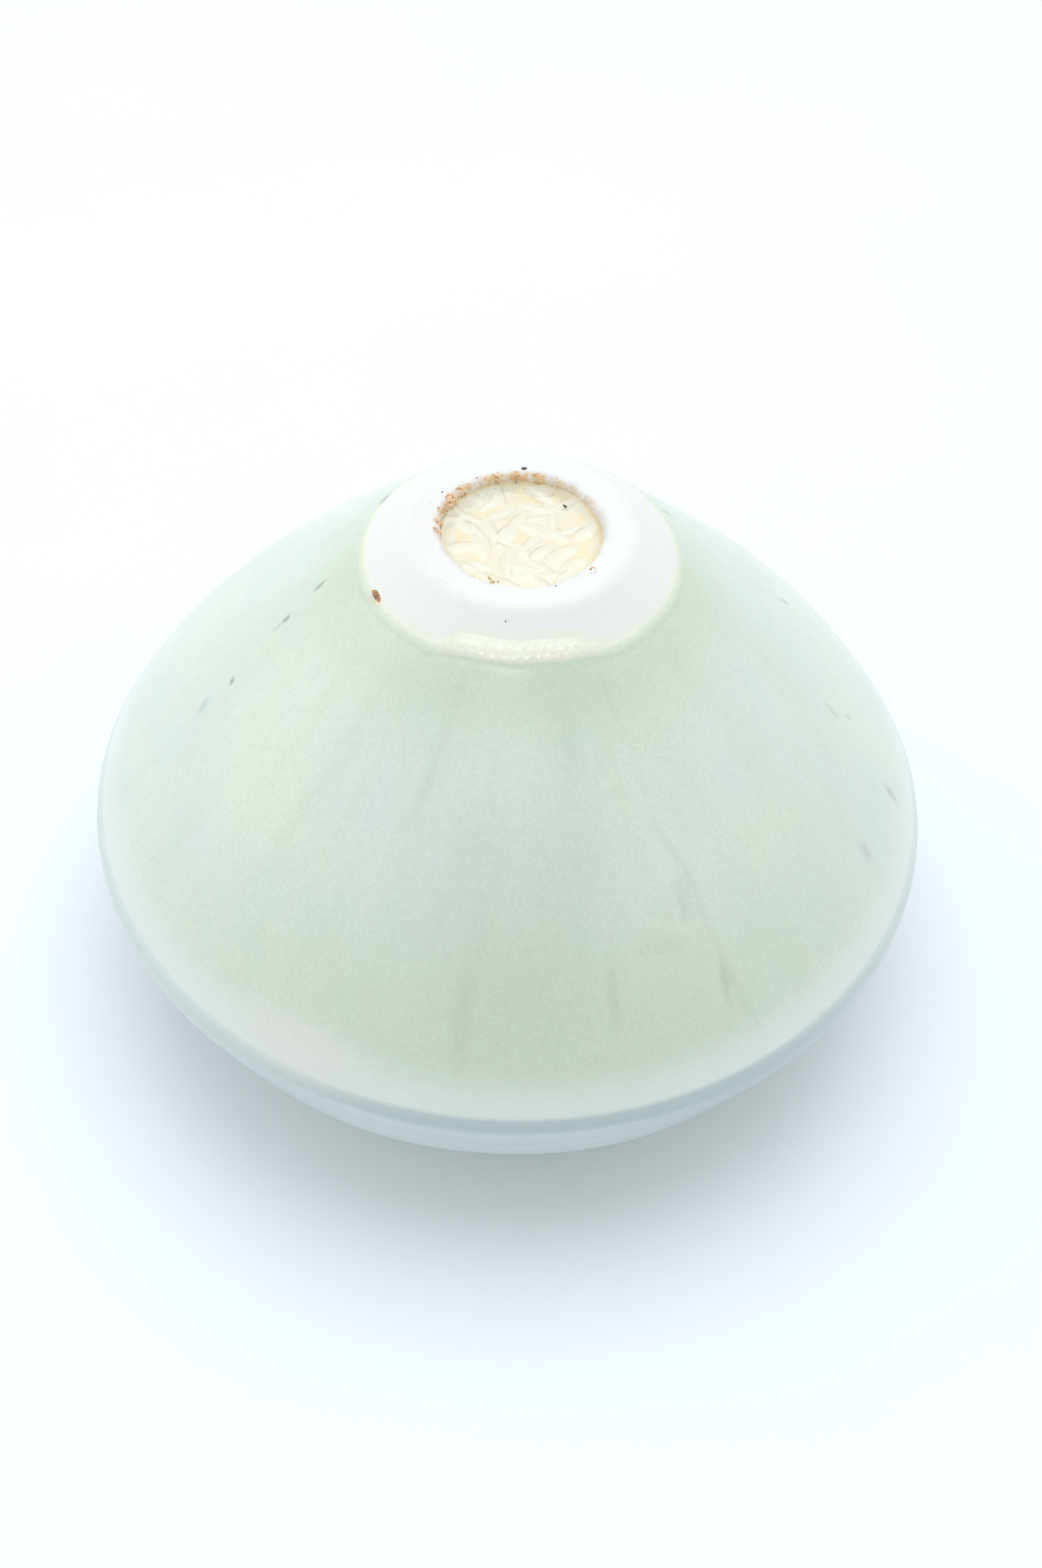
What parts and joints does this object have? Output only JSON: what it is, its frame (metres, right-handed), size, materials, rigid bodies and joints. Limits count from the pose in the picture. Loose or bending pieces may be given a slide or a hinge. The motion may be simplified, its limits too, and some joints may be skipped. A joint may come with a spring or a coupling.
{
  "type": "celadon vase",
  "caption": "Squat celadon glazed vase with a cone-shaped lower wall, wide belly, low shoulder, short round mouth and bare turned foot ring; holds flowers or water.",
  "frame": {"origin": "on the vase's axis, in the plane of the rim that it stands on in the picture, mouth down", "axes": "+Z is the axis of turning, from the mouth up to the foot; X and Y are alike, and -Y is the side that the picture shows. Turn the part over by 180 degrees about X to use it as a vase, standing on its foot_face"},
  "size_m": [0.12, 0.12, 0.075],
  "materials": {
    "clay": "bare fired white clay, matte, with fine turning lines",
    "slip": "fired slip, matte",
    "kiln_grit": "fused iron-brown grains, rough",
    "celadon": "pale grey-green glaze, glossy, faintly mottled",
    "pale_celadon": "thin pale green glaze, glossy",
    "cream_glaze": "pooled cream glaze, satin, over crossing strokes"
  },
  "bodies": {
    "root": {"lower_body": "clay", "shoulder_body": "clay", "luting_slip": "slip", "foot_ring": "clay", "celadon_coat": "celadon", "liner_coat": "pale_celadon", "rim_bead": "pale_celadon", "well_pool": "cream_glaze"}
  },
  "joints": []
}
